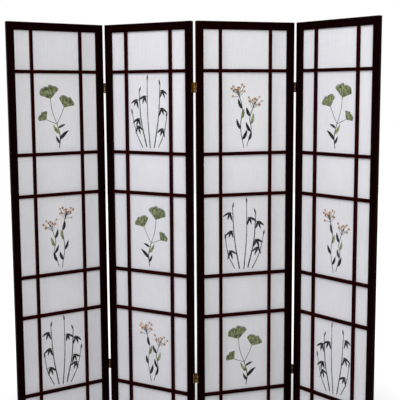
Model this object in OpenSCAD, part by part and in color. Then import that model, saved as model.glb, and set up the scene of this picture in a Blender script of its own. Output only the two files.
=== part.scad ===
// Folding screen of four lattice panels backed with cloth, joined by brass butt hinges.
// It stands in a zigzag. X runs across it, its front faces -Y, and Z = 0 is the floor.

/* [Panel] */
// Width of one panel over its two stiles
panel_w = 438; // [400:1:480]
// Height of one panel from the floor to its top
panel_h = 1803; // [1700:1:1900]
// Thickness of stiles and rails, front to back
frame_t = 16; // [16:0.5:22]
// Face width of a stile
stile_w = 32; // [28:0.5:44]
// Face height of the top and bottom rails
rail_h = 33.5; // [28:0.5:50]
// How far the bottom rail is held above the floor
rail_lift = 3; // [1:0.5:12]
// Radius that eases the long edges of stiles and rails
arris_r = 1.2; // [0.6:0.1:1.8]
// Radius of the top outer corner of a stile
corner_r = 4; // [2:0.5:8]

/* [Frame joints] */
// Thickness of a rail's tenon
tenon_t = 6; // [4:0.5:6]
// Length of a rail's tenon
tenon_l = 18; // [12:1:20]
// Shoulder above and below a tenon
tenon_shoulder = 6; // [4:0.5:9]
// Distance from the frame's front face to the tenon
tenon_setback = 4.5; // [3:0.5:6]
// Room for glue past the end of a tenon
glue_room = 0.8; // [0.4:0.1:0.9]
// Clearance all round a glued joint
joint_gap = 0.15; // [0.05:0.05:0.3]

/* [Lattice] */
// Clear width of the pane beside a stile
side_pane_w = 69; // [55:1:85]
// Clear height of a short pane
short_pane_h = 162; // [130:1:190]
// Number of tall panes, one above the other
tall_panes = 3; // [2:1:4]
// Face width of an upright bar
upright_w = 12.5; // [9:0.5:18]
// Face height of a cross bar
cross_h = 14; // [9:0.5:18]
// Thickness of the bars, front to back
bar_t = 11; // [9:0.5:11]
// Distance from the frame's front face to the bars
bar_setback = 1.5; // [1:0.1:1.5]
// Length that a bar's end goes into the frame
bar_stub = 4; // [2:0.5:6]
// Radius that eases the front edges of the bars
bar_edge_r = 0.8; // [0.4:0.1:1.5]

/* [Cloth] */
// Thickness of the stretched cloth
cloth_t = 0.8; // [0.5:0.1:0.8]
// Width of the ledge that the cloth's edge lies on
ledge_w = 8; // [7:0.5:12]
// Distance from the cloth's edge to the ledge's wall
cloth_margin = 0.5; // [0.3:0.1:1.5]
// Thickness of the strips that hold the cloth's edge
strip_t = 2.4; // [1.5:0.1:2.4]
// Radius that eases the strips' inner edge
strip_edge_r = 0.8; // [0.4:0.1:1.2]

/* [Hinges] */
// Height of a hinge
hinge_h = 42; // [34:1:60]
// Distance from the top to the middle of an upper hinge
upper_hinge_drop = 272; // [220:1:330]
// Distance from the floor to the middle of a lower hinge
lower_hinge_rise = 282; // [220:1:330]
// Thickness of a leaf
leaf_t = 1.5; // [1:0.1:1.8]
// Distance from a leaf's long edge to the far face of its stile
leaf_inset = 1; // [0.5:0.1:2]
// Radius of a leaf's corners
leaf_corner_r = 2; // [1:0.5:3]
// Radius of the barrel
barrel_r = 3.3; // [2.8:0.1:4.2]
// Number of knuckles, shared out between the two leaves
knuckles = 5; // [3:2:7]
// Gap between one knuckle and the next
knuckle_gap = 0.3; // [0.2:0.1:0.6]
// Gap between the barrel and the plane of a stile's edge
barrel_gap = 0.1; // [0.1:0.1:0.6]
// Gap round a barrel where the other leaf is cut away for it
swing_gap = 0.3; // [0.2:0.1:0.6]
// Distance from a panel's face out to the pin
pin_out = 1.5; // [1.5:0.1:3]
// Radius of the pin
pin_r = 1.2; // [0.9:0.1:1.4]
// Radial clearance of the pin in the knuckles
pin_gap = 0.05; // [0.03:0.01:0.08]
// Radius of the pin's heads
pin_head_r = 2.2; // [2:0.1:2.6]
// Height of a pin's head
pin_head_h = 1; // [0.8:0.1:2]

/* [Screws] */
// Radius of a screw's shank
screw_r = 1.4; // [1:0.1:1.7]
// Length of a screw over its head
screw_l = 16; // [12:1:20]
// Distance between the two screws of a leaf
screw_pitch = 24; // [18:1:28]
// Distance from the hinge side's face of the stile to the line of screws
screw_inset = 9; // [8.5:0.5:9.5]
// Clearance round a screw and under its head
screw_gap = 0.1; // [0.05:0.05:0.2]
// Depth of the cross cut in a screw's head
driver_depth = 0.8; // [0.4:0.1:0.9]
// Width of the cross cut in a screw's head
driver_w = 0.7; // [0.5:0.1:0.9]

/* [Standing] */
// Turn of panel 1 as the screen stands, in degrees
turn_1 = 34; // [10:0.5:70]
// Turn of panel 2
turn_2 = -29.5; // [-70:0.5:-10]
// Turn of panel 3
turn_3 = 17.5; // [10:0.5:70]
// Turn of panel 4
turn_4 = -49.5; // [-70:0.5:-10]

/* [Hidden] */
wood = [0.13, 0.025, 0.03];
wood_bar = [0.19, 0.03, 0.035];
cloth_white = [0.86, 0.86, 0.88];
brass = [0.62, 0.5, 0.24];
round_fn = 48;
overcut = 1;

panels = 4;
folds = panels - 1;
turn = [turn_1, turn_2, turn_3, turn_4];
fold_names = ["left_fold", "middle_fold", "right_fold"];

bottom_rail_z = rail_lift;
top_rail_z = panel_h - rail_h;
opening_z0 = rail_lift + rail_h;
opening_z1 = top_rail_z;
opening_h = opening_z1 - opening_z0;
rail_l = panel_w - 2 * stile_w;
cross_bars = 2 * tall_panes;
tall_pane_h = (opening_h - cross_bars * cross_h - (tall_panes + 1) * short_pane_h) / tall_panes;

bar_back = bar_setback + bar_t;
lap_y = bar_setback + bar_t / 2;
upright_l = opening_h + 2 * bar_stub;
cross_l = rail_l + 2 * bar_stub;
left_bar_u = stile_w + side_pane_w;
right_bar_u = panel_w - stile_w - side_pane_w - upright_w;
bar_u = [left_bar_u, right_bar_u];

ledge_z0 = opening_z0 - ledge_w;
ledge_l = opening_h + 2 * ledge_w;
ledge_across = rail_l + 2 * ledge_w;
strip_w = ledge_w - joint_gap;
strip_back = bar_back + cloth_t + strip_t;

edge_gap = barrel_r + barrel_gap;
leaf_w = pin_out + frame_t - leaf_inset;
screw_line = pin_out + screw_inset;
screw_head_r = screw_r + leaf_t;
knuckle_h = hinge_h / knuckles;
hinge_z = [panel_h - upper_hinge_drop - hinge_h / 2, lower_hinge_rise - hinge_h / 2];
upper = 0;
lower = 1;

// Height of the underside of cross bar k, counted from 0 at the top
function cross_z(k) = opening_z1 - (floor(k / 2) + 1) * short_pane_h
    - floor((k + 1) / 2) * tall_pane_h - (k + 1) * cross_h;

// Unit vectors along panel i and towards its back
function along(i) = [cos(turn[i]), sin(turn[i])];
function inward(i) = [-sin(turn[i]), cos(turn[i])];

// The middle fold's pins stand behind the panels, and the outer folds' pins in front
function pin_behind(j) = j % 2 == 1;
function pin_y(j) = pin_behind(j) ? frame_t + pin_out : -pin_out;

// Front left corner of panel i and pin axis of fold j, in plan, from panel 1's own corner
function corner(i) = i == 0 ? [0, 0]
    : pin(i - 1) + edge_gap * along(i) - pin_y(i - 1) * inward(i);
function pin(j) = corner(j) + (panel_w + edge_gap) * along(j) + pin_y(j) * inward(j);

// The middle of the ground that the standing screen covers is the origin
outline = [for (i = [0 : panels - 1]) for (u = [0, panel_w]) for (y = [0, frame_t])
    corner(i) + u * along(i) + y * inward(i)];
low = [min([for (p = outline) p[0]]), min([for (p = outline) p[1]])];
high = [max([for (p = outline) p[0]]), max([for (p = outline) p[1]])];
middle = (low + high) / 2;

panel_pieces = ["left_stile", "right_stile", "top_rail", "bottom_rail", "left_bar", "right_bar",
    "cross_bars", "cloth", "back_strips"];
function panel_node(i, piece) = str("panel_", i + 1, "_", piece);
function fold_node(j, piece) = str(fold_names[j], "_", piece);
function fold_pieces(j) = [str("upper_leaf_", j + 1), str("upper_leaf_", j + 2),
    str("lower_leaf_", j + 1), str("lower_leaf_", j + 2), "pins",
    str("screws_", j + 1), str("screws_", j + 2)];

// Puts what is drawn flat, from a panel's front left bottom corner, where panel i stands
module on_panel(i) {
    translate([corner(i)[0] - middle[0], corner(i)[1] - middle[1], 0])
        rotate([0, 0, turn[i]]) children();
}

// Turns a piece made for the left side of a panel into the one for its right side
module swap_side(right) {
    if (right) translate([panel_w, 0, 0]) mirror([1, 0, 0]) children();
    else children();
}

// Section with all four corners eased
module eased_section(w, d, r) {
    translate([r, 0]) square([w - 2 * r, d]);
    translate([0, r]) square([w, d - 2 * r]);
    for (x = [r, w - r]) for (y = [r, d - r])
        translate([x, y]) circle(r, $fn = round_fn);
}

// Section with the two corners at y = 0 eased
module eased_front(w, d, r) {
    translate([r, 0]) square([w - 2 * r, d]);
    translate([0, r]) square([w, d - r]);
    for (x = [r, w - r]) translate([x, r]) circle(r, $fn = round_fn);
}

// Bar that lies across the panel from u0, with its section's width standing upright at z0
module lying(u0, length, z0) {
    translate([u0 + length, 0, z0]) rotate([0, -90, 0]) linear_extrude(length) children();
}

// Left stile from its outer edge at u = 0, with pilot holes there if it is hinged
module stile_body(hinged, behind) {
    difference() {
        linear_extrude(panel_h) eased_section(stile_w, frame_t, arris_r);
        rounded_corner_cut();
        for (z = [bottom_rail_z, top_rail_z]) mortise(z);
        for (k = [0 : cross_bars - 1]) bar_socket(cross_z(k));
        translate([stile_w - ledge_w, bar_back, ledge_z0])
            cube([ledge_w + overcut, frame_t, ledge_l]);
        if (hinged) for (z = hinge_z) pilot_holes(z, behind);
    }
}

// What the round top outer corner takes away
module rounded_corner_cut() {
    difference() {
        translate([-overcut, -overcut, panel_h - corner_r])
            cube([corner_r + overcut, frame_t + 2 * overcut, corner_r + overcut]);
        translate([corner_r, -2 * overcut, panel_h - corner_r]) rotate([-90, 0, 0])
            cylinder(r = corner_r, h = frame_t + 4 * overcut, $fn = round_fn);
    }
}

module mortise(rail_z) {
    depth = tenon_l + glue_room;
    translate([stile_w - depth, tenon_setback - joint_gap, rail_z + tenon_shoulder - joint_gap])
        cube([depth + overcut, tenon_t + 2 * joint_gap,
            rail_h - 2 * tenon_shoulder + 2 * joint_gap]);
}

module bar_socket(z) {
    depth = bar_stub + joint_gap;
    translate([stile_w - depth, bar_setback - joint_gap, z - joint_gap])
        cube([depth + overcut, bar_t + joint_gap, cross_h + 2 * joint_gap]);
}

module pilot_holes(z, behind) {
    y = behind ? frame_t - screw_inset : screw_inset;
    for (side = [-1, 1]) translate([-overcut, y, z + hinge_h / 2 + side * screw_pitch / 2])
        rotate([0, 90, 0])
            cylinder(r = screw_r + screw_gap, h = screw_l - leaf_t + overcut, $fn = round_fn);
}

module left_stile(i) {
    color(wood) on_panel(i) stile_body(i > 0, i > 0 && pin_behind(i - 1));
}

module right_stile(i) {
    color(wood) on_panel(i) swap_side(true) stile_body(i < folds, i < folds && pin_behind(i));
}

// Rail between the stiles, with a tenon at each end and sockets for the upright bars
module rail_body(z, opening_above) {
    inner_z = opening_above ? z + rail_h : z;
    socket = bar_stub + joint_gap;
    difference() {
        union() {
            lying(stile_w, rail_l, z) eased_section(rail_h, frame_t, arris_r);
            translate([stile_w - tenon_l, tenon_setback, z + tenon_shoulder])
                cube([rail_l + 2 * tenon_l, tenon_t, rail_h - 2 * tenon_shoulder]);
        }
        translate([stile_w - overcut, bar_back, inner_z - (opening_above ? ledge_w : overcut)])
            cube([rail_l + 2 * overcut, frame_t, ledge_w + overcut]);
        for (u = bar_u)
            translate([u - joint_gap, bar_setback - joint_gap,
                inner_z - (opening_above ? socket : overcut)])
                cube([upright_w + 2 * joint_gap, bar_t + joint_gap, socket + overcut]);
    }
}

module top_rail(i) {
    color(wood) on_panel(i) rail_body(top_rail_z, false);
}

module bottom_rail(i) {
    color(wood) on_panel(i) rail_body(bottom_rail_z, true);
}

// Upright bar, halved from the front where the cross bars pass
module upright_bar(i, u) {
    color(wood_bar) on_panel(i) difference() {
        translate([u, bar_setback, opening_z0 - bar_stub]) linear_extrude(upright_l)
            eased_front(upright_w, bar_t, bar_edge_r);
        for (k = [0 : cross_bars - 1])
            translate([u - overcut, bar_setback - overcut, cross_z(k) - joint_gap])
                cube([upright_w + 2 * overcut, overcut + bar_t / 2, cross_h + 2 * joint_gap]);
    }
}

// Cross bars, halved from the back where the upright bars pass
module cross_bar_set(i) {
    color(wood_bar) on_panel(i) for (k = [0 : cross_bars - 1]) difference() {
        translate([0, bar_setback, 0]) lying(stile_w - bar_stub, cross_l, cross_z(k))
            eased_front(cross_h, bar_t, bar_edge_r);
        for (u = bar_u) translate([u - joint_gap, lap_y, cross_z(k) - overcut])
            cube([upright_w + 2 * joint_gap, bar_t, cross_h + 2 * overcut]);
    }
}

// Cloth stretched flat over the back of the bars, its edge on the ledge
module cloth(i) {
    across = ledge_across - 2 * cloth_margin;
    tall = ledge_l - 2 * cloth_margin;
    color(cloth_white) on_panel(i)
        translate([(panel_w - across) / 2, bar_back, ledge_z0 + cloth_margin])
            cube([across, cloth_t, tall]);
}

// Four strips that hold the cloth's edge on the ledge, two upright and two between them
module back_strips(i) {
    across = rail_l - 2 * joint_gap;
    color(wood) on_panel(i) {
        for (right = [false, true]) swap_side(right)
            translate([stile_w - strip_w, 0, ledge_z0 + joint_gap])
                linear_extrude(ledge_l - 2 * joint_gap)
                    translate([strip_w, strip_back]) rotate(180) strip_section();
        translate([0, strip_back, opening_z1]) mirror([0, 1, 0])
            lying(stile_w + joint_gap, across, 0) strip_section();
        translate([0, strip_back, opening_z0]) mirror([0, 1, 0]) mirror([0, 0, 1])
            lying(stile_w + joint_gap, across, 0) strip_section();
    }
}

// Section of a strip, its eased corner at the origin towards the cloth's middle
module strip_section() {
    r = strip_edge_r;
    translate([r, 0]) square([strip_w - r, strip_t]);
    translate([0, r]) square([strip_w, strip_t - r]);
    translate([r, r]) circle(r, $fn = round_fn);
}

// Puts what is drawn round a pin, with x towards the stile and y into the panel
module at_pin(j, i, z) {
    on_left = i == j;
    on_panel(i) translate([on_left ? panel_w + edge_gap : -edge_gap, pin_y(j), z])
        mirror([on_left ? 1 : 0, 0, 0]) mirror([0, pin_behind(j) ? 1 : 0, 0]) children();
}

// Knuckles of one leaf: the left leaf has the first, the third and so on
module knuckle_stack(parity, r, gap) {
    for (k = [parity : 2 : knuckles - 1]) {
        z0 = k == 0 ? 0 : k * knuckle_h + gap / 2;
        z1 = k == knuckles - 1 ? hinge_h : (k + 1) * knuckle_h - gap / 2;
        translate([0, 0, z0]) cylinder(r = r, h = z1 - z0, $fn = round_fn);
    }
}

// Flat plate of a leaf, its long outer edge with round corners
module leaf_plate() {
    r = leaf_corner_r;
    translate([edge_gap - leaf_t, 0, 0]) rotate([90, 0, 90]) linear_extrude(leaf_t) {
        square([leaf_w - r, hinge_h]);
        translate([0, r]) square([leaf_w, hinge_h - 2 * r]);
        for (z = [r, hinge_h - r]) translate([leaf_w - r, z]) circle(r, $fn = round_fn);
    }
}

// Countersunk hole for a screw, through a leaf along x
module screw_hole(z) {
    translate([edge_gap - leaf_t - overcut, screw_line, z]) rotate([0, 90, 0]) {
        cylinder(r = screw_r + 2 * screw_gap, h = leaf_t + 2 * overcut, $fn = round_fn);
        cylinder(r1 = screw_head_r + screw_gap + overcut, r2 = screw_r + screw_gap,
            h = leaf_t + overcut, $fn = round_fn);
    }
}

module leaf(j, i, where) {
    parity = i == j ? 0 : 1;
    color(brass) at_pin(j, i, hinge_z[where]) difference() {
        union() {
            difference() {
                leaf_plate();
                knuckle_stack(1 - parity, barrel_r + swing_gap, -knuckle_gap);
            }
            knuckle_stack(parity, barrel_r, knuckle_gap);
        }
        translate([0, 0, -overcut])
            cylinder(r = pin_r + pin_gap, h = hinge_h + 2 * overcut, $fn = round_fn);
        for (side = [-1, 1]) screw_hole(hinge_h / 2 + side * screw_pitch / 2);
    }
}

// The upper and lower pin of a fold, each with a flat head at both ends
module pins(j) {
    ease = pin_head_h * 0.4;
    color(brass) for (z = hinge_z) at_pin(j, j, z) rotate_extrude($fn = round_fn) polygon([
        [0, -pin_head_h], [pin_head_r - ease, -pin_head_h], [pin_head_r, -pin_head_h + ease],
        [pin_head_r, 0], [pin_r, 0], [pin_r, hinge_h], [pin_head_r, hinge_h],
        [pin_head_r, hinge_h + pin_head_h - ease], [pin_head_r - ease, hinge_h + pin_head_h],
        [0, hinge_h + pin_head_h]
    ]);
}

// Countersunk screw along z, its head's top at z = 0, with a cross cut in the head
module screw() {
    tip = 2 * screw_r;
    difference() {
        rotate_extrude($fn = round_fn) polygon([
            [0, 0], [screw_head_r, 0], [screw_r, leaf_t], [screw_r, screw_l - tip], [0, screw_l]
        ]);
        for (a = [0, 90]) rotate([0, 0, a + 45])
            translate([-driver_w / 2, -screw_head_r * 0.6, -overcut])
                cube([driver_w, screw_head_r * 1.2, overcut + driver_depth]);
    }
}

// Screws that fasten fold j's two leaves to panel i
module screws(j, i) {
    color(brass) for (z = hinge_z) for (side = [-1, 1])
        at_pin(j, i, z + hinge_h / 2 + side * screw_pitch / 2)
            translate([edge_gap - leaf_t + screw_gap, screw_line, 0]) rotate([0, 90, 0]) screw();
}

for (i = [0 : panels - 1]) {
    left_stile(i);
    right_stile(i);
    top_rail(i);
    bottom_rail(i);
    upright_bar(i, left_bar_u);
    upright_bar(i, right_bar_u);
    cross_bar_set(i);
    cloth(i);
    back_strips(i);
}
for (j = [0 : folds - 1]) {
    pins(j);
    for (i = [j, j + 1]) {
        leaf(j, i, upper);
        leaf(j, i, lower);
        screws(j, i);
    }
}
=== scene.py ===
import cmath
import math
import random

import bpy
from mathutils import Matrix, Vector


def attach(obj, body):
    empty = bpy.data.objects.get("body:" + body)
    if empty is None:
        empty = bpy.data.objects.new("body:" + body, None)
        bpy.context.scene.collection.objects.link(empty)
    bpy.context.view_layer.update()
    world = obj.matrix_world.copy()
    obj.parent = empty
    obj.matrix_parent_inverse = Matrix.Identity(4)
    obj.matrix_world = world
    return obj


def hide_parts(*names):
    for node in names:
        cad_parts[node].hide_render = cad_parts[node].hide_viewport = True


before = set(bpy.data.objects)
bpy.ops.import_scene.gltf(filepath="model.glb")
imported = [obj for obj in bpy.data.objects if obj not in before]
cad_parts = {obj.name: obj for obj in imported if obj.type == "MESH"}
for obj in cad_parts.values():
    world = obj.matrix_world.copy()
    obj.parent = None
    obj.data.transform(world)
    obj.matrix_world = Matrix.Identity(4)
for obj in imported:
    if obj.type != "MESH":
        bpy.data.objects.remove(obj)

scene = bpy.context.scene
scene.view_settings.view_transform = "Standard"
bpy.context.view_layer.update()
print("frame loaded,", len(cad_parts), "nodes")

# The screen as it stands. Lengths are in millimetres unless a note says metres.
screenSizes = {
    "turns": (34.0, -29.5, 17.5, -49.5),   # degrees, panels 1 to 4
    "panelWidth": 438.0,
    "openingFoot": 36.5,                   # from the floor to the opening in the frame
    "openingTop": 1769.5,
    "stile": 32.0,
    "sidePane": 69.0,
    "upright": 12.5,
    "shortPane": 162.0,
    "crossBar": 14.0,
    "tallPanes": 3,
    "clothFront": 12.5,                    # behind the front face of the frame
    "clothThick": 0.8,
    "clothEdge": 7.5,                      # of cloth past the opening, under the strips
}
panels = range(1, len(screenSizes["turns"]) + 1)


def metres(*lengths):
    return tuple(length / 1000 for length in lengths)


def srgb(red, green, blue):
    linear = [c / 12.92 if c <= 0.04045 else ((c + 0.055) / 1.055) ** 2.4
              for c in (red / 255, green / 255, blue / 255)]
    return (*linear, 1.0)


def paneSpans():
    # where the panes begin and end: columns from the left stile, rows from the top down
    s = screenSizes
    free = s["openingTop"] - s["openingFoot"]
    tall = (free - 2 * s["tallPanes"] * s["crossBar"]
            - (s["tallPanes"] + 1) * s["shortPane"]) / s["tallPanes"]
    leftBar = s["stile"] + s["sidePane"]
    rightBar = s["panelWidth"] - leftBar - s["upright"]
    columns = [(s["stile"], leftBar), (leftBar + s["upright"], rightBar),
               (rightBar + s["upright"], s["panelWidth"] - s["stile"])]
    rows, top = [], s["openingTop"]
    for k in range(2 * s["tallPanes"] + 1):
        high = tall if k % 2 else s["shortPane"]
        rows.append((top - high, top))
        top -= high + s["crossBar"]
    return columns, rows


paneColumns, paneRows = paneSpans()


def panelPlace(panel):
    # the cloth's own corner at rest gives where the panel stands
    s = screenSizes
    turn = math.radians(s["turns"][panel - 1])
    along = Vector((math.cos(turn), math.sin(turn), 0))
    inward = Vector((-math.sin(turn), math.cos(turn), 0))
    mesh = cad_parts[f"panel_{panel}_cloth"].data
    across = min(v.co.dot(along) for v in mesh.vertices)
    deep = min(v.co.dot(inward) for v in mesh.vertices)
    left, front = metres(s["stile"] - s["clothEdge"], s["clothFront"])
    corner = (across - left) * along + (deep - front) * inward
    return Matrix.Translation(corner) @ Matrix.Rotation(turn, 4, "Z")


panelPlaces = {panel: panelPlace(panel) for panel in panels}

# Camera, found from the edges of the frame in the picture. Metres and degrees, but the lens
# and its sensor are in millimetres.
cameraView = {
    "place": (0.05528, -3.53219, 1.51267),
    "tilt": (82.7010, 0.2774, 0.1774),
    "lens": 75.921, "sensor": 36.0,
}


def placeCamera():
    data = bpy.data.cameras.new("screenCamera")
    data.lens, data.sensor_width = cameraView["lens"], cameraView["sensor"]
    camera = bpy.data.objects.new("screenCamera", data)
    camera.location = cameraView["place"]
    camera.rotation_euler = [math.radians(a) for a in cameraView["tilt"]]
    scene.collection.objects.link(camera)
    scene.camera = camera


placeCamera()
print("camera placed")


def addNode(tree, kind, inputs=None, **settings):
    node = tree.nodes.new(kind)
    for key, value in settings.items():
        setattr(node, key, value)
    for key, value in (inputs or {}).items():
        if isinstance(value, bpy.types.NodeSocket):
            tree.links.new(value, node.inputs[key])
        else:
            node.inputs[key].default_value = value
    return node


def emptyMaterial(name):
    material = bpy.data.materials.new(name)
    material.use_nodes = True
    material.node_tree.nodes.clear()
    return material, material.node_tree


def combine(tree, operation, first, second):
    return addNode(tree, "ShaderNodeMath", {0: first, 1: second}, operation=operation).outputs[0]


def blend(tree, share, first, second):
    # 6 and 7 are the two colours of this node, and 2 is the colour that it gives
    return addNode(tree, "ShaderNodeMix", {0: share, 6: first, 7: second},
                   data_type="RGBA").outputs[2]


def ramp(tree, factor, places, colors):
    node = addNode(tree, "ShaderNodeValToRGB", {"Fac": factor})
    band = node.color_ramp
    while len(band.elements) < len(places):
        band.elements.new(0.5)
    for element, place, color in zip(band.elements, places, colors):
        element.position, element.color = place, srgb(*color)
    return node.outputs["Color"]


def noise(tree, vector, detail, rough, distortion=0.0):
    return addNode(tree, "ShaderNodeTexNoise", {
        "Vector": vector, "Scale": 1.0, "Detail": detail,
        "Roughness": rough, "Distortion": distortion}).outputs["Fac"]


def spread(tree, value, low, high, fromLow=0.3, fromHigh=0.7):
    # noise seldom leaves the range of 0.3 to 0.7
    return addNode(tree, "ShaderNodeMapRange", {
        "Value": value, "From Min": fromLow, "From Max": fromHigh,
        "To Min": low, "To Max": high}).outputs["Result"]


def sized(tree, size, place=(0, 0, 0), turn=0.0):
    # coordinates measured along the piece, in features of the given size in metres
    where = addNode(tree, "ShaderNodeTexCoord").outputs["Object"]
    return addNode(tree, "ShaderNodeMapping", {
        "Vector": where, "Location": place, "Rotation": (0, 0, turn),
        "Scale": size}, vector_type="TEXTURE").outputs["Vector"]


def bump(tree, strength, depth, height, under=None):
    inputs = {"Strength": strength, "Distance": depth, "Height": height}
    if under:
        inputs["Normal"] = under
    return addNode(tree, "ShaderNodeBump", inputs).outputs[0]


def finishSurface(tree, inputs):
    surface = addNode(tree, "ShaderNodeBsdfPrincipled", inputs)
    addNode(tree, "ShaderNodeOutputMaterial", {"Surface": surface.outputs[0]})


def seenRays(tree, *kinds):
    # 1 for what the camera sees, straight or by the other kinds, and 0 for light on the pieces
    path = addNode(tree, "ShaderNodeLightPath")
    seen = path.outputs["Is Camera Ray"]
    for kind in kinds:
        seen = combine(tree, "MAXIMUM", seen, path.outputs[kind])
    return seen


# White surroundings, a cool soft light on the left and a warmer one nearer on the right. Metres.
studio = {
    "roomTint": (0.985, 0.985, 1.0), "roomLight": 0.215,
    "keyPlace": (-3.5, -2.8, 3.6), "keyWatts": 105.0, "keySize": 1.6,
    "keyTint": (0.93, 0.935, 1.0),
    "fillPlace": (0.45, -2.1, 2.25), "fillWatts": 42.0, "fillSize": 1.6,
    "fillTint": (0.993, 0.98, 0.928),
    "aim": (0.0, 0.05, 1.25),
}
floorLook = {
    "reach": 9.0,                          # from the middle to each side
    "pale": (222, 222, 224), "deep": (220, 220, 222), "toneStops": (0.3, 0.7),
    "grain": 0.02, "grainNoise": (4.0, 0.5),           # detail and roughness of the noise
    "rough": 0.9, "gloss": 0.1,
    "glowNear": 0.5, "glowFar": 1.0,       # white that the camera sees in it, near and far away
    "nearReach": 0.75, "farReach": 1.7,    # from the middle
}


def whiteSurroundings():
    world = bpy.data.worlds.new("whiteRoom")
    scene.world = world
    world.use_nodes = True
    tree = world.node_tree
    tree.nodes.clear()
    room = addNode(tree, "ShaderNodeBackground", {
        "Color": (*studio["roomTint"], 1), "Strength": studio["roomLight"]})
    paper = addNode(tree, "ShaderNodeBackground", {"Color": (1, 1, 1, 1), "Strength": 1.0})
    mix = addNode(tree, "ShaderNodeMixShader", {
        0: seenRays(tree, "Is Glossy Ray", "Is Transmission Ray"),
        1: room.outputs[0], 2: paper.outputs[0]})
    addNode(tree, "ShaderNodeOutputWorld", {"Surface": mix.outputs[0]})


def softLamp(name):
    data = bpy.data.lights.new(name + "Lamp", "AREA")
    place = studio[name + "Place"]
    data.energy, data.size = studio[name + "Watts"], studio[name + "Size"]
    data.color = studio[name + "Tint"]
    lamp = bpy.data.objects.new(name + "Lamp", data)
    lamp.location = place
    aim = Vector(studio["aim"]) - Vector(place)
    lamp.rotation_euler = aim.to_track_quat("-Z", "Y").to_euler()
    scene.collection.objects.link(lamp)


def paleFloor():
    look = floorLook
    mesh = bpy.data.meshes.new("studioFloor")
    corners = [(x * look["reach"], y * look["reach"], 0)
               for x, y in ((-1, -1), (1, -1), (1, 1), (-1, 1))]
    mesh.from_pydata(corners, [], [(0, 1, 2, 3)])
    floor = bpy.data.objects.new("studioFloor", mesh)
    scene.collection.objects.link(floor)
    material, tree = emptyMaterial("floorPaper")
    where = addNode(tree, "ShaderNodeTexCoord").outputs["Object"]
    away = addNode(tree, "ShaderNodeVectorMath", {0: where}, operation="LENGTH").outputs["Value"]
    fade = spread(tree, away, look["glowNear"], look["glowFar"],
                  look["nearReach"], look["farReach"])
    glow = combine(tree, "MULTIPLY", seenRays(tree, "Is Glossy Ray"), fade)
    grain = noise(tree, sized(tree, (look["grain"],) * 3), *look["grainNoise"])
    finishSurface(tree, {
        "Base Color": ramp(tree, grain, look["toneStops"], (look["deep"], look["pale"])),
        "Roughness": look["rough"], "Specular IOR Level": look["gloss"],
        "Emission Color": (1, 1, 1, 1), "Emission Strength": glow})
    mesh.materials.append(material)


whiteSurroundings()
softLamp("key")
softLamp("fill")
paleFloor()
print("studio set")

# Stained wood of the frame and of the thinner bars. Lengths are in metres.
frameWood = {
    "tones": ((3, 0, 0), (9, 1, 1), (19, 2, 2)),
    "grainAcross": 0.007, "grainAlong": 0.30,
    "poreAcross": 0.0011, "poreAlong": 0.022, "poreDepth": 0.00018,
    # edge: a redder tone on every edge, partly wear and partly painted highlight
    "edge": (52, 3, 4), "edgeWidth": 0.0016,
    "roughLow": 0.42, "roughHigh": 0.6,
}
barWood = {
    "tones": ((9, 0, 0), (25, 1, 2), (52, 4, 6)),
    "grainAcross": 0.005, "grainAlong": 0.22,
    "poreAcross": 0.0010, "poreAlong": 0.018, "poreDepth": 0.00014,
    # edge: a redder tone on every edge, partly wear and partly painted highlight
    "edge": (128, 12, 16), "edgeWidth": 0.0013,
    "roughLow": 0.4, "roughHigh": 0.58,
}
woodFinish = {
    "toneStops": (0.28, 0.52, 0.78),       # of the grain, from dark to light
    "poreStops": (0.36, 0.46),             # from an open pore to sound wood
    "edgeWearHighlightStops": (0.86, 0.99),             # from an edge, rubbed and painted with highlight, to a flat face
    "edgeWearHighlightLeast": 0.45,                     # share of the edge tone, wear and painted highlight, where it is weakest
    "edgeSamples": 4,
    "cloudAcross": 0.05, "cloudAlong": 0.35,
    "bandNoise": (5.0, 0.6, 0.6),          # detail, roughness and distortion of the noise
    "poreNoise": (2.0, 0.5), "cloudNoise": (2.0, 0.5),
    "relief": 0.5, "gloss": 0.02, "glossTint": (255, 80, 70),
}


def stainedWood(name, wood, panel, upright):
    # the grain runs up a stile and along a rail, in the panel's own directions
    material, tree = emptyMaterial(name)
    place = panelPlaces[panel].translation
    turn = math.radians(screenSizes["turns"][panel - 1])

    def along(across, length):
        size = (across, across, length) if upright else (length, across, across)
        return sized(tree, size, place, turn)

    finish = woodFinish
    bands = noise(tree, along(wood["grainAcross"], wood["grainAlong"]), *finish["bandNoise"])
    tone = ramp(tree, bands, finish["toneStops"], wood["tones"])
    pores = noise(tree, along(wood["poreAcross"], wood["poreAlong"]), *finish["poreNoise"])
    sound = spread(tree, pores, 0.0, 1.0, *finish["poreStops"])
    shade = blend(tree, sound, srgb(*wood["tones"][0]), tone)
    # the edges get a redder tone, partly wear of the stain and partly a painted highlight, more in
    # some places than in others
    rounded = addNode(tree, "ShaderNodeBevel", {"Radius": wood["edgeWidth"]},
                      samples=finish["edgeSamples"]).outputs[0]
    flat = addNode(tree, "ShaderNodeNewGeometry").outputs["True Normal"]
    even = addNode(tree, "ShaderNodeVectorMath", {0: rounded, 1: flat},
                   operation="DOT_PRODUCT").outputs["Value"]
    cloud = noise(tree, along(finish["cloudAcross"], finish["cloudAlong"]), *finish["cloudNoise"])
    edgeWearAndHighlight = combine(tree, "MULTIPLY", spread(tree, even, 1.0, 0.0, *finish["edgeWearHighlightStops"]),
                   spread(tree, cloud, finish["edgeWearHighlightLeast"], 1.0))
    finishSurface(tree, {
        "Base Color": blend(tree, edgeWearAndHighlight, shade, srgb(*wood["edge"])),
        "Roughness": spread(tree, cloud, wood["roughLow"], wood["roughHigh"]),
        "Normal": bump(tree, finish["relief"], wood["poreDepth"], sound),
        "Specular IOR Level": finish["gloss"],
        "Specular Tint": srgb(*finish["glossTint"])})
    return material


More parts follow.
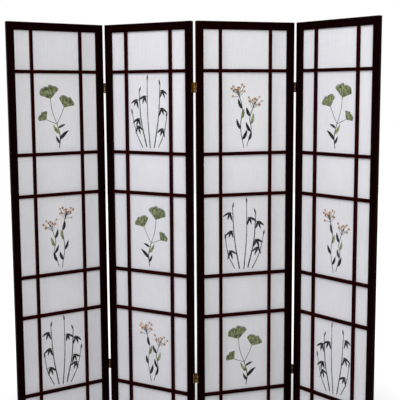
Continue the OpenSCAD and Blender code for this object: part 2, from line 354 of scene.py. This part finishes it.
# Brass of the hinge leaves, pins and screws. Lengths are in metres.
hingeBrass = {"tones": ((50, 30, 8), (108, 80, 34), (186, 158, 96)),
              "roughLow": 0.26, "roughHigh": 0.46, "brush": 0.00005}
# a darker copy of the hinge brass, painted shade for the hinges deep in the two other folds
shadedFoldBrass = {"tones": ((32, 25, 15), (66, 54, 30), (118, 100, 60)),
                  "roughLow": 0.34, "roughHigh": 0.54, "brush": 0.00005}
pinBrass = {"tones": ((84, 68, 38), (140, 116, 66), (190, 165, 104)),
            "roughLow": 0.2, "roughHigh": 0.36, "brush": 0.00003}
screwBrass = {"tones": ((60, 48, 28), (128, 106, 60), (184, 160, 104)),
              "roughLow": 0.22, "roughHigh": 0.4, "brush": 0.00003}
brassFinish = {
    "cloud": (0.007, 0.007, 0.009), "cloudNoise": (5.0, 0.62), "toneStops": (0.36, 0.48, 0.64),
    "scratch": (0.00035, 0.00035, 0.012), "scratchNoise": (3.0, 0.5), "relief": 0.4,
}


def agedBrass(name, brass):
    material, tree = emptyMaterial(name)
    finish = brassFinish
    cloud = noise(tree, sized(tree, finish["cloud"]), *finish["cloudNoise"])
    scratch = noise(tree, sized(tree, finish["scratch"]), *finish["scratchNoise"])
    finishSurface(tree, {
        "Base Color": ramp(tree, cloud, finish["toneStops"], brass["tones"]),
        "Metallic": 1.0,
        "Roughness": spread(tree, cloud, brass["roughHigh"], brass["roughLow"]),
        "Normal": bump(tree, finish["relief"], brass["brush"], scratch)})
    return material


def dressFrame():
    # the middle fold's hinges are the bright ones; the leaves at the other folds get a darker copy
    # of the brass, painted shade for their place deep in the folds
    brasses = {"pins": agedBrass("pinBrass", pinBrass),
               "screws": agedBrass("screwBrass", screwBrass),
               "middle_fold": agedBrass("hingeBrass", hingeBrass),
               "leaf": agedBrass("shadedFoldBrass", shadedFoldBrass)}
    woods = {}
    for panel in panels:
        for kind, wood in (("frame", frameWood), ("bar", barWood)):
            for way in ("upright", "across"):
                woods[panel, kind, way] = stainedWood(
                    f"{kind}Wood{way.capitalize()}{panel}", wood, panel, way == "upright")
    for name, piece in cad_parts.items():
        if name.endswith("_cloth"):
            continue
        if name.startswith("panel_"):
            panel = int(name.split("_")[1])
            kind = "bar" if "bar" in name else "frame"
            way = "across" if "rail" in name or "cross" in name else "upright"
            material = woods[panel, kind, way]
        else:
            material = brasses[next(k for k in brasses if k in name)]
        for slot in piece.material_slots:
            slot.material = material


dressFrame()
print("wood and brass on")

# Stretched cloth: a slubbed plain weave. Lengths are in metres.
clothLook = {
    "pale": (239, 239, 242), "deep": (228, 228, 232), "toneStops": (0.32, 0.64),
    "thread": 0.0009,                      # from one thread to the next
    "waveLength": 0.314159,                # of the wave texture at a scale of 1
    "wobble": 0.6, "wobbleDetail": 1.0, "wobbleScale": 0.4,
    "weaveDepth": 0.00012, "weaveRelief": 0.5,
    "upSlub": (0.0016, 1.0, 0.11), "upNoise": (4.0, 0.65),
    "acrossSlub": (0.06, 1.0, 0.0018), "acrossNoise": (3.0, 0.6), "acrossShare": 0.1,
    "slubDepth": 0.0003, "slubRelief": 0.6,
    "cloud": (0.16, 1.0, 0.22), "cloudNoise": (2.0, 0.5), "cloudShare": 0.06,
    "rough": 0.86, "gloss": 0.25, "sheen": 0.12, "sheenRough": 0.4,
    "throughShare": 0.3,                   # of the light on a face that passes it
}
# Its slack in each pane. Lengths are in millimetres.
clothSlack = {
    "sag": 0.7, "ripple": 0.16,            # how far the slack stands back
    "fullAcross": 0.8, "fullUp": 0.6,      # a smaller power fills the pane more
    "waveAcross": 0.115, "waveUp": 0.013, "waveStart": 0.9,
    "windReach": 1.7, "windUp": 0.0061,    # how the ripples wind on their way up
    "gridStep": 9.0,
}


def within(place, spans):
    for low, high in spans:
        if low < place < high:
            return (place - low) / (high - low)
    return 0.0


def clothDepth(across, up):
    # behind the frame's front face: on the bars it lies flat, in a pane it stands back a little
    c = clothSlack
    a, b = within(across, paneColumns), within(up, paneRows)
    if not (a and b):
        return screenSizes["clothFront"]
    slack = math.sin(math.pi * a) ** c["fullAcross"] * math.sin(math.pi * b) ** c["fullUp"]
    wind = c["windReach"] * math.sin(up * c["windUp"])
    wave = math.sin(across * c["waveAcross"] + wind) * math.sin(up * c["waveUp"] + c["waveStart"])
    return screenSizes["clothFront"] + slack * (c["sag"] + c["ripple"] * wave)


def wovenCloth():
    look = clothLook
    material, tree = emptyMaterial("slubbedCloth")
    where = addNode(tree, "ShaderNodeTexCoord").outputs["Object"]
    waves = [addNode(tree, "ShaderNodeTexWave", {
        "Vector": where, "Scale": look["waveLength"] / look["thread"],
        "Distortion": look["wobble"], "Detail": look["wobbleDetail"],
        "Detail Scale": look["wobbleScale"]},
        wave_type="BANDS", bands_direction=direction, wave_profile="SIN").outputs["Fac"]
        for direction in ("X", "Z")]
    weave = combine(tree, "MULTIPLY", *waves)
    upSlubs = noise(tree, sized(tree, look["upSlub"]), *look["upNoise"])
    acrossSlubs = noise(tree, sized(tree, look["acrossSlub"]), *look["acrossNoise"])
    slubs = combine(tree, "ADD", upSlubs,
                    spread(tree, acrossSlubs, -look["acrossShare"], look["acrossShare"]))
    cloud = noise(tree, sized(tree, look["cloud"]), *look["cloudNoise"])
    mixed = combine(tree, "ADD", slubs,
                    spread(tree, cloud, -look["cloudShare"], look["cloudShare"]))
    tone = ramp(tree, mixed, look["toneStops"], (look["deep"], look["pale"]))
    relief = bump(tree, look["weaveRelief"], look["weaveDepth"], weave,
                  bump(tree, look["slubRelief"], look["slubDepth"], slubs))
    surface = addNode(tree, "ShaderNodeBsdfPrincipled", {
        "Base Color": tone, "Roughness": look["rough"], "Specular IOR Level": look["gloss"],
        "Sheen Weight": look["sheen"], "Sheen Roughness": look["sheenRough"], "Normal": relief})
    through = addNode(tree, "ShaderNodeBsdfTranslucent", {"Color": tone, "Normal": relief})
    mix = addNode(tree, "ShaderNodeMixShader", {
        0: look["throughShare"], 1: surface.outputs[0], 2: through.outputs[0]})
    addNode(tree, "ShaderNodeOutputMaterial", {"Surface": mix.outputs[0]})
    return material


def addPiece(name, points, faces, panel, material, smooth):
    mesh = bpy.data.meshes.new(name)
    mesh.from_pydata(points, [], faces)
    mesh.polygons.foreach_set("use_smooth", [smooth] * len(mesh.polygons))
    mesh.materials.append(material)
    mesh.update()
    piece = bpy.data.objects.new(name, mesh)
    piece.matrix_world = panelPlaces[panel]
    scene.collection.objects.link(piece)
    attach(piece, f"panel_{panel}")
    return piece


def gridLines(low, high, edges, step):
    # even lines between the edges of the panes, so that the folds at the bars stay crisp
    stops = [low] + [e for pair in sorted(edges) for e in pair] + [high]
    lines = [low]
    for start, end in zip(stops, stops[1:]):
        count = max(1, round((end - start) / step))
        lines += [start + (end - start) * k / count for k in range(1, count + 1)]
    return lines


def stretchCloth(panel, material):
    s = screenSizes
    edge = s["clothEdge"]
    xs = gridLines(s["stile"] - edge, s["panelWidth"] - s["stile"] + edge,
                   paneColumns, clothSlack["gridStep"])
    zs = gridLines(s["openingFoot"] - edge, s["openingTop"] + edge,
                   paneRows, clothSlack["gridStep"])
    wide, high = len(xs), len(zs)
    points, faces = [], []
    for back in (0.0, s["clothThick"]):
        for z in zs:
            points += [metres(x, clothDepth(x, z) + back, z) for x in xs]
    layer = wide * high
    for j in range(high - 1):
        for i in range(wide - 1):
            a = j * wide + i
            faces.append((a, a + 1, a + wide + 1, a + wide))
            faces.append((layer + a, layer + a + wide, layer + a + wide + 1, layer + a + 1))
    # the rim goes round from the lower left corner and closes the cloth's edge
    rim = (list(range(wide)) + [j * wide + wide - 1 for j in range(1, high)]
           + [(high - 1) * wide + i for i in range(wide - 2, -1, -1)]
           + [j * wide for j in range(high - 2, 0, -1)])
    for a, b in zip(rim, rim[1:] + rim[:1]):
        faces.append((b, a, layer + a, layer + b))
    cloth = addPiece(f"panel_{panel}_stretched_cloth", points, faces, panel,
                     material, True)
    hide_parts(f"panel_{panel}_cloth")
    return cloth


# Embroidery. A place on the cloth is a complex number: across + up * 1j, in millimetres
# from the middle of the pane's lower edge. Each stitch is a straight raised thread, written
# as its start, its end and its width.
sewing = {
    "thread": 0.95, "spacing": 0.85,
    "lift": 0.42,                          # height of a ridge as a share of its width
    "sink": 0.06,                          # how deep its sides go into the cloth
    "endShare": 0.68, "swell": 0.32,       # of the width at the ends, and what the middle adds
    "longStitch": 14.0,                    # a longer one is cut in four parts instead of two
    "dark": (5, 6, 4), "darkLight": (32, 36, 22),
    "green": (50, 62, 28), "greenLight": (180, 190, 140),
    "rust": (160, 96, 60), "rustLight": (250, 222, 192),
    "seedStep": 100,                       # between the panels' random draws
}
# Slants are shares of the width, and a cord's step and thread are shares of the usual ones.
stemWork = {"step": 3.2, "slant": 0.22, "uneven": (0.85, 1.1)}
cordWork = {"step": 1.15, "slant": 0.55, "uneven": (0.92, 1.06), "thread": 1.15}
satinWork = {
    "slant": 0.16,                         # share of the leaf that a stitch runs along the vein
    "fullFrom": 0.8, "fullEdge": 0.85,     # powers that set the leaf's outline
    "shortest": 0.8, "veinGap": 0.12, "uneven": 0.12,
}


def toward(angle):
    return cmath.exp(1j * angle)


def bow(base, heading, length, bend, t):
    # a place on an even bend that starts at base; heading and bend are in radians
    return base + length * toward(heading) * (toward(bend * t) - 1) / (1j * bend)


def smoothLine(stops, step, cuts=24):
    # evenly spaced places on a smooth curve through the stops
    ends = [2 * stops[0] - stops[1]] + list(stops) + [2 * stops[-1] - stops[-2]]
    fine = []
    for a, b, c, d in zip(ends, ends[1:], ends[2:], ends[3:]):
        for k in range(cuts):
            t = k / cuts
            fine.append(0.5 * (2 * b + (c - a) * t + (2 * a - 5 * b + 4 * c - d) * t ** 2
                               + (3 * b - a - 3 * c + d) * t ** 3))
    fine.append(stops[-1])
    gone = [0.0]
    for a, b in zip(fine, fine[1:]):
        gone.append(gone[-1] + abs(b - a))
    count = max(2, round(gone[-1] / step))
    line, k = [], 0
    for i in range(count + 1):
        want = gone[-1] * i / count
        while k < len(fine) - 2 and gone[k + 1] < want:
            k += 1
        share = (want - gone[k]) / (gone[k + 1] - gone[k])
        line.append(fine[k] + (fine[k + 1] - fine[k]) * share)
    return line


def stemStitches(sew, color, stops, thick, rng):
    # short overlapping stitches, laid a little aslant along the line
    line = smoothLine(stops, stemWork["step"])
    for k in range(len(line) - 1):
        end = line[min(k + 2, len(line) - 1)]
        side = 1j * (end - line[k]) / abs(end - line[k])
        slant = stemWork["slant"] * thick * side
        sew[color].append((line[k] - slant, end + slant, thick * rng.uniform(*stemWork["uneven"])))
    return line


def cordedStitches(sew, color, stops, startThick, endThick, rng):
    # close stitches across a thicker stem
    line = smoothLine(stops, sewing["spacing"] * cordWork["step"])
    for k in range(len(line) - 1):
        t = k / (len(line) - 1)
        thick = startThick + (endThick - startThick) * t
        ahead = (line[k + 1] - line[k]) / abs(line[k + 1] - line[k])
        half = 0.5 * thick * rng.uniform(*cordWork["uneven"]) * 1j * ahead
        sew[color].append((line[k] - half, line[k] + half + cordWork["slant"] * thick * ahead,
                           sewing["thread"] * cordWork["thread"]))


def satinLeaf(sew, color, base, heading, length, width, bend, rng):
    # two rows of slanting stitches that meet on the vein
    w = satinWork
    rows = round(length / sewing["spacing"])
    for side in (1, -1):
        for k in range(rows):
            t = k / rows
            far = min(1.0, t + w["slant"])
            half = 0.5 * width * math.sin(math.pi * far ** w["fullFrom"]) ** w["fullEdge"]
            edge = bow(base, heading, length, bend, far)
            edge += side * half * 1j * toward(heading + bend * far)
            start = bow(base, heading, length, bend, t)
            if abs(edge - start) > w["shortest"]:
                start += side * w["veinGap"] * 1j * toward(heading)
                sew[color].append((start, edge + rng.uniform(-w["uneven"], w["uneven"]),
                                   sewing["thread"]))


# Five jointed canes. Each is written as its foot, its tip, its width, how far its middle stands
# to the side, and its tufts: for each one how far up it grows, as a share, and to which side.
caneDesign = {
    "canes": ((-24 + 14j, -56 + 282j, 5.6, 7, ((0.62, -1), (0.9, -1))),
              (-4 + 12j, 8 + 302j, 4.8, -6, ((0.76, 1),)),
              (14 + 18j, 50 + 254j, 6.4, -10, ((0.5, 1), (0.84, 1))),
              (34 + 14j, 86 + 158j, 4.4, -9, ((0.62, -1),)),
              (-46 + 18j, -88 + 148j, 4.2, 9, ((0.6, 1),))),
    "firstPart": 30, "nextCane": 3, "nextPart": 4,     # a part's length, and what is added to it
    "leftAtTip": 8,
    "taper": 0.5, "partFoot": 0.92, "partHead": 1.02, "ringReach": 0.7,    # of the cane's width
    "ringThread": 1.6,
    "twigLean": (0.6, 0.8), "twigBend": 0.6, "twigLength": (12, 17), "twigThread": 2.0,
    "leaves": 3, "leafSpread": 0.62, "leafSwing": (-0.22, -0.02),
    "leafLength": (34, 43), "leafWidth": (8.2, 10.0), "leafBend": 0.3,
    "tipLength": 26, "tipWidth": 7.0, "tipBend": 0.2, "tipLean": 0.25,
}


def hangingTuft(sew, joint, way, rng):
    # a short twig that bends over, with three leaves hanging from its end
    d = caneDesign
    lean = math.pi / 2 - way * rng.uniform(*d["twigLean"])
    bend = -way * d["twigBend"]
    length = rng.uniform(*d["twigLength"])
    knee = bow(joint, lean, length, bend, 1.0)
    stemStitches(sew, "dark", [joint, bow(joint, lean, length, bend, 0.5), knee],
                 d["twigThread"], rng)
    for k in range(d["leaves"]):
        swing = d["leafSpread"] * k + rng.uniform(*d["leafSwing"])
        satinLeaf(sew, "dark", knee, -math.pi / 2 + way * swing, rng.uniform(*d["leafLength"]),
                  rng.uniform(*d["leafWidth"]), -way * d["leafBend"], rng)


def caneMotif(sew, rng):
    d = caneDesign
    for n, (foot, tip, thick, aside, tufts) in enumerate(d["canes"]):
        side = 1j * (tip - foot) / abs(tip - foot)
        # one place a millimetre, so that a part's length is also a number of places
        line = smoothLine([foot, (foot + tip) / 2 + side * aside, tip], 1.0)
        start, part = 0, d["firstPart"] + d["nextCane"] * n
        while start < len(line) - d["leftAtTip"]:
            end = min(start + part, len(line) - 1)
            width = thick * (1 - d["taper"] * start / len(line))
            cordedStitches(sew, "dark", [line[start], line[(start + end) // 2], line[end]],
                           width * d["partFoot"], width * d["partHead"], rng)
            ring = side * width * d["ringReach"]
            sew["dark"].append((line[end] - ring, line[end] + ring, d["ringThread"]))
            start, part = end, part + d["nextPart"]
        for share, way in tufts:
            hangingTuft(sew, line[int(share * (len(line) - 1))], way, rng)
        # the tips lean right, stand up and lean left in turn
        satinLeaf(sew, "dark", line[-1], math.pi / 2 + d["tipLean"] * (n % 3 - 1),
                  d["tipLength"], d["tipWidth"], d["tipBend"], rng)


# Three fan leaves on one forked stem, with a few narrow leaves below. A head is written as its
# base, its heading in degrees, its reach, half its opening in degrees and where its stalk bends,
# and a narrow leaf as its base, its heading in radians, its length, its width and its colour.
fanDesign = {
    "foot": 6 + 16j, "waist": 11 + 68j, "fork": -2 + 120j,
    "stems": ((0.0, 2.3), (1.8, 1.9)),     # how far to the right, and how thick
    "forkShift": 0.6,                      # share of that shift which is left at the fork
    "stalkThread": 2.2, "stalkInto": 3,
    "heads": ((-28 + 226j, 104, 58, 57, -22 + 176j),
              (33 + 190j, 64, 50, 55, 18 + 156j),
              (-50 + 138j, 134, 36, 53, -26 + 129j)),
    "leaves": ((10.6 + 52j, 0.95, 58, 15.0, "dark"), (9.4 + 76j, 2.35, 52, 13.5, "green"),
               (4.5 + 102j, 0.62, 38, 10.0, "dark"), (10.8 + 36j, 2.25, 38, 11.0, "dark")),
    "leafBend": -0.4,
}
# Distances from the stalk are shares of the reach. The overlap, the step along the edge and the
# widths of its dark threads are in millimetres.
fanShape = {
    "notch": 0.16, "notchWide": 0.1,       # the second in radians
    "wave": 0.035, "waves": 9, "waveStart": 0.6,
    "shoulder": 0.10,                      # how much shorter the two sides are
    "rowShare": 1.25, "threadShare": 1.1,  # of the usual spacing and thread, at the rim
    "inner": 0.42, "innerStep": 0.1, "innerUneven": (0.94, 1.06), "rimUneven": (0.985, 1.01),
    "overlap": 3.0,
    "veinStart": 0.16, "veinEnd": (0.55, 0.8), "veinThread": 1.5,
    "shadeStart": (0.68, 0.84), "shadeThread": 1.7,
    "edge": 1.02, "edgeStep": 3.2, "edgeThread": 1.9,
}


def fanRim(reach, opening, a, full):
    # how far the leaf reaches at an angle from its middle
    f = fanShape
    return reach * (full - f["notch"] * math.exp(-(a / f["notchWide"]) ** 2)
                    + f["wave"] * math.sin(f["waves"] * a + f["waveStart"])
                    - f["shoulder"] * abs(a / opening) ** 3)


def fanLeaf(sew, base, heading, reach, opening, rng):
    # long and short stitches that spread from the stalk, with a notch in the rim; every second
    # one is met by a stitch from the stalk, every fifth has a dark vein, every third a dark end
    f = fanShape
    count = round(2 * opening * reach / (sewing["spacing"] * f["rowShare"]))
    for k in range(count):
        a = -opening + 2 * opening * (k + 0.5) / count
        rim = fanRim(reach, opening, a, 1.0)
        ray = toward(heading - a)
        inner = reach * (f["inner"] + f["innerStep"] * (k % 2)) * rng.uniform(*f["innerUneven"])
        sew["green"].append((base + ray * inner, base + ray * rim * rng.uniform(*f["rimUneven"]),
                             sewing["thread"] * f["threadShare"]))
        if k % 2 == 0:
            sew["green"].append((base, base + ray * (inner + f["overlap"]), sewing["thread"]))
        if k % 5 == 2:
            vein = rim * rng.uniform(*f["veinEnd"])
            sew["dark"].append((base + ray * reach * f["veinStart"], base + ray * vein,
                                f["veinThread"]))
        if k % 3 == 0:
            shade = rim * rng.uniform(*f["shadeStart"])
            sew["dark"].append((base + ray * shade, base + ray * rim, f["shadeThread"]))
    steps = round(2 * opening * reach / f["edgeStep"])
    angles = [-opening + 2 * opening * k / steps for k in range(steps + 1)]
    edge = [base + toward(heading - a) * fanRim(reach, opening, a, f["edge"]) for a in angles]
    sew["dark"] += [(a, b, f["edgeThread"]) for a, b in zip(edge, edge[1:])]


def fanMotif(sew, rng):
    d = fanDesign
    for shift, thick in d["stems"]:
        stemStitches(sew, "dark", [d["foot"] + shift, d["waist"] + shift,
                                   d["fork"] + shift * d["forkShift"]], thick, rng)
    for base, heading, reach, opening, knee in d["heads"]:
        heading, opening = math.radians(heading), math.radians(opening)
        stemStitches(sew, "dark", [d["fork"], knee, base + d["stalkInto"] * toward(heading)],
                     d["stalkThread"], rng)
        fanLeaf(sew, base, heading, reach, opening, rng)
    for base, heading, length, width, color in d["leaves"]:
        satinLeaf(sew, color, base, heading, length, width, d["leafBend"], rng)


# Two arching sprigs, each with a loose head of berries. A sprig is written as the stops of its
# stem, its number of berries and how far its head leans to the left, in radians.
berryDesign = {
    "sprigs": (((-6 + 16j, -20 + 104j, -12 + 182j, -30 + 248j), 13, 0.25),
               ((8 + 22j, 28 + 92j, 22 + 142j, 42 + 200j), 10, -0.3)),
    "stemThread": 2.8, "headSpread": 1.3,
    "stalks": (18, 41, 29), "stalkUneven": (0.92, 1.08), "stalkStep": 3,
    "stalkBend": 0.3, "stalkThread": 1.6,
    "across": (10.0, 12.5), "threadShare": 1.05, "pastStalk": 4,
    "leafShares": (0.15, 0.34, 0.52, 0.7), "greenLeaf": 2, "leafLean": (0.5, 0.75),
    "leafLength": (40, 50), "leafWidth": (11.5, 14.0), "leafBend": 0.55,
    "tipLean": 2, "tipLength": 17, "tipWidth": 5.8, "tipBend": 0.1,
    "star": (-0.9, 0.0, 0.9), "starBack": 0.22, "starOut": 0.5, "starThread": 1.8,
}


def berry(sew, place, across, tilt):
    # parallel stitches across a round, with a dark star on its heart
    d = berryDesign
    rows = round(across / sewing["spacing"])
    turn = toward(tilt)
    for k in range(rows):
        off = across * ((k + 0.5) / rows - 0.5)
        half = math.sqrt(across ** 2 / 4 - off ** 2)
        sew["rust"].append((place + turn * (off - 1j * half), place + turn * (off + 1j * half),
                            sewing["thread"] * d["threadShare"]))
    for a in d["star"]:
        ray = 1j * turn * toward(a)
        sew["dark"].append((place - ray * across * d["starBack"],
                            place + ray * across * d["starOut"], d["starThread"]))


def berryMotif(sew, rng):
    d = berryDesign
    for stops, count, lean in d["sprigs"]:
        line = stemStitches(sew, "dark", stops, d["stemThread"], rng)
        for k in range(count):
            # the stalks take turns in length and in where they leave the stem
            kind = k % len(d["stalks"])
            heading = math.pi / 2 + lean + d["headSpread"] * (2 * (k + 0.5) / count - 1)
            length = d["stalks"][kind] * rng.uniform(*d["stalkUneven"])
            start = line[-1 - d["stalkStep"] * kind]
            bend = d["stalkBend"] if k % 2 else -d["stalkBend"]
            end = bow(start, heading, length, bend, 1.0)
            stemStitches(sew, "dark", [start, bow(start, heading, length, bend, 0.5), end],
                         d["stalkThread"], rng)
            berry(sew, end + d["pastStalk"] * toward(heading + bend), rng.uniform(*d["across"]),
                  heading + bend - math.pi / 2)
        for k, share in enumerate(d["leafShares"]):
            way = 1 if k % 2 else -1
            satinLeaf(sew, "green" if k == d["greenLeaf"] else "dark",
                      line[int(share * len(line))],
                      math.pi / 2 + way * rng.uniform(*d["leafLean"]),
                      rng.uniform(*d["leafLength"]), rng.uniform(*d["leafWidth"]),
                      -way * d["leafBend"], rng)
        satinLeaf(sew, "dark", stops[-1], math.pi / 2 + lean * d["tipLean"], d["tipLength"],
                  d["tipWidth"], d["tipBend"], rng)


def threadMesh(stitches):
    # a low three-sided ridge along each stitch, highest in its middle; a thicker one stands higher
    points, faces = [], []
    for start, end, width in stitches:
        ahead = end - start
        side = 1j * ahead / abs(ahead)
        cuts = 3 if abs(ahead) < sewing["longStitch"] else 5
        first = len(points)
        for k in range(cuts):
            t = k / (cuts - 1)
            full = width * (sewing["endShare"] + sewing["swell"] * math.sin(math.pi * t))
            middle = start + ahead * t
            for off, lift in ((-0.5, -sewing["sink"]), (0.0, sewing["lift"] * full),
                              (0.5, -sewing["sink"])):
                spot = middle + side * full * off
                depth = clothDepth(spot.real, spot.imag) - lift
                points.append(metres(spot.real, depth, spot.imag))
        for k in range(cuts - 1):
            a, b = first + 3 * k, first + 3 * k + 3
            faces += [(a, a + 1, b + 1, b), (a + 1, a + 2, b + 2, b + 1), (a + 2, a, b, b + 2)]
        last = first + 3 * (cuts - 1)
        faces += [(first, first + 2, first + 1), (last, last + 1, last + 2)]
    return points, faces


# Silk of the threads. Lengths are in metres.
silkLook = {
    "cloud": (0.012, 0.012, 0.016), "cloudNoise": (4.0, 0.6), "toneStops": (0.32, 0.68),
    "twist": (0.0004, 0.0004, 0.0006), "twistNoise": (2.0, 0.5),
    "twistDepth": 0.00008, "relief": 0.4,
    "roughLow": 0.42, "roughHigh": 0.6,
    "gloss": 0.12, "sheen": 0.04, "sheenRough": 0.35,
}


def silkThread(color):
    look = silkLook
    material, tree = emptyMaterial(color + "Thread")
    cloud = noise(tree, sized(tree, look["cloud"]), *look["cloudNoise"])
    twist = noise(tree, sized(tree, look["twist"]), *look["twistNoise"])
    finishSurface(tree, {
        "Base Color": ramp(tree, cloud, look["toneStops"],
                           (sewing[color], sewing[color + "Light"])),
        "Roughness": spread(tree, twist, look["roughLow"], look["roughHigh"]),
        "Normal": bump(tree, look["relief"], look["twistDepth"], twist),
        "Specular IOR Level": look["gloss"],
        "Sheen Weight": look["sheen"], "Sheen Roughness": look["sheenRough"]})
    return material


# Which motif is sewn in each tall pane, from the top, and whether it is turned over
motifOrder = {
    1: ((fanMotif, False), (berryMotif, True), (caneMotif, False)),
    2: ((caneMotif, True), (fanMotif, True), (berryMotif, False)),
    3: ((berryMotif, False), (caneMotif, False), (fanMotif, False)),
    4: ((fanMotif, True), (berryMotif, False), (caneMotif, True)),
}


def embroider(panel, threads):
    sewn = {color: [] for color in threads}
    middle = screenSizes["panelWidth"] / 2
    for row, (motif, turned) in enumerate(motifOrder[panel]):
        sew = {color: [] for color in threads}
        motif(sew, random.Random(sewing["seedStep"] * panel + row))
        foot = complex(middle, paneRows[2 * row + 1][0])
        for color, stitches in sew.items():
            for start, end, width in stitches:
                if turned:
                    start, end = -start.conjugate(), -end.conjugate()
                sewn[color].append((foot + start, foot + end, width))
    pieces = []
    for color, stitches in sewn.items():
        points, faces = threadMesh(stitches)
        pieces.append(addPiece(f"panel_{panel}_embroidery_{color}", points, faces, panel,
                               threads[color], False))
    return pieces


clothMaterial = wovenCloth()
threads = {color: silkThread(color) for color in ("dark", "green", "rust")}
for panel in panels:
    cloth = stretchCloth(panel, clothMaterial)
    sewnOn = embroider(panel, threads)
    print("panel", panel, "cloth and embroidery,",
          sum(len(p.data.polygons) for p in sewnOn), "faces of thread")
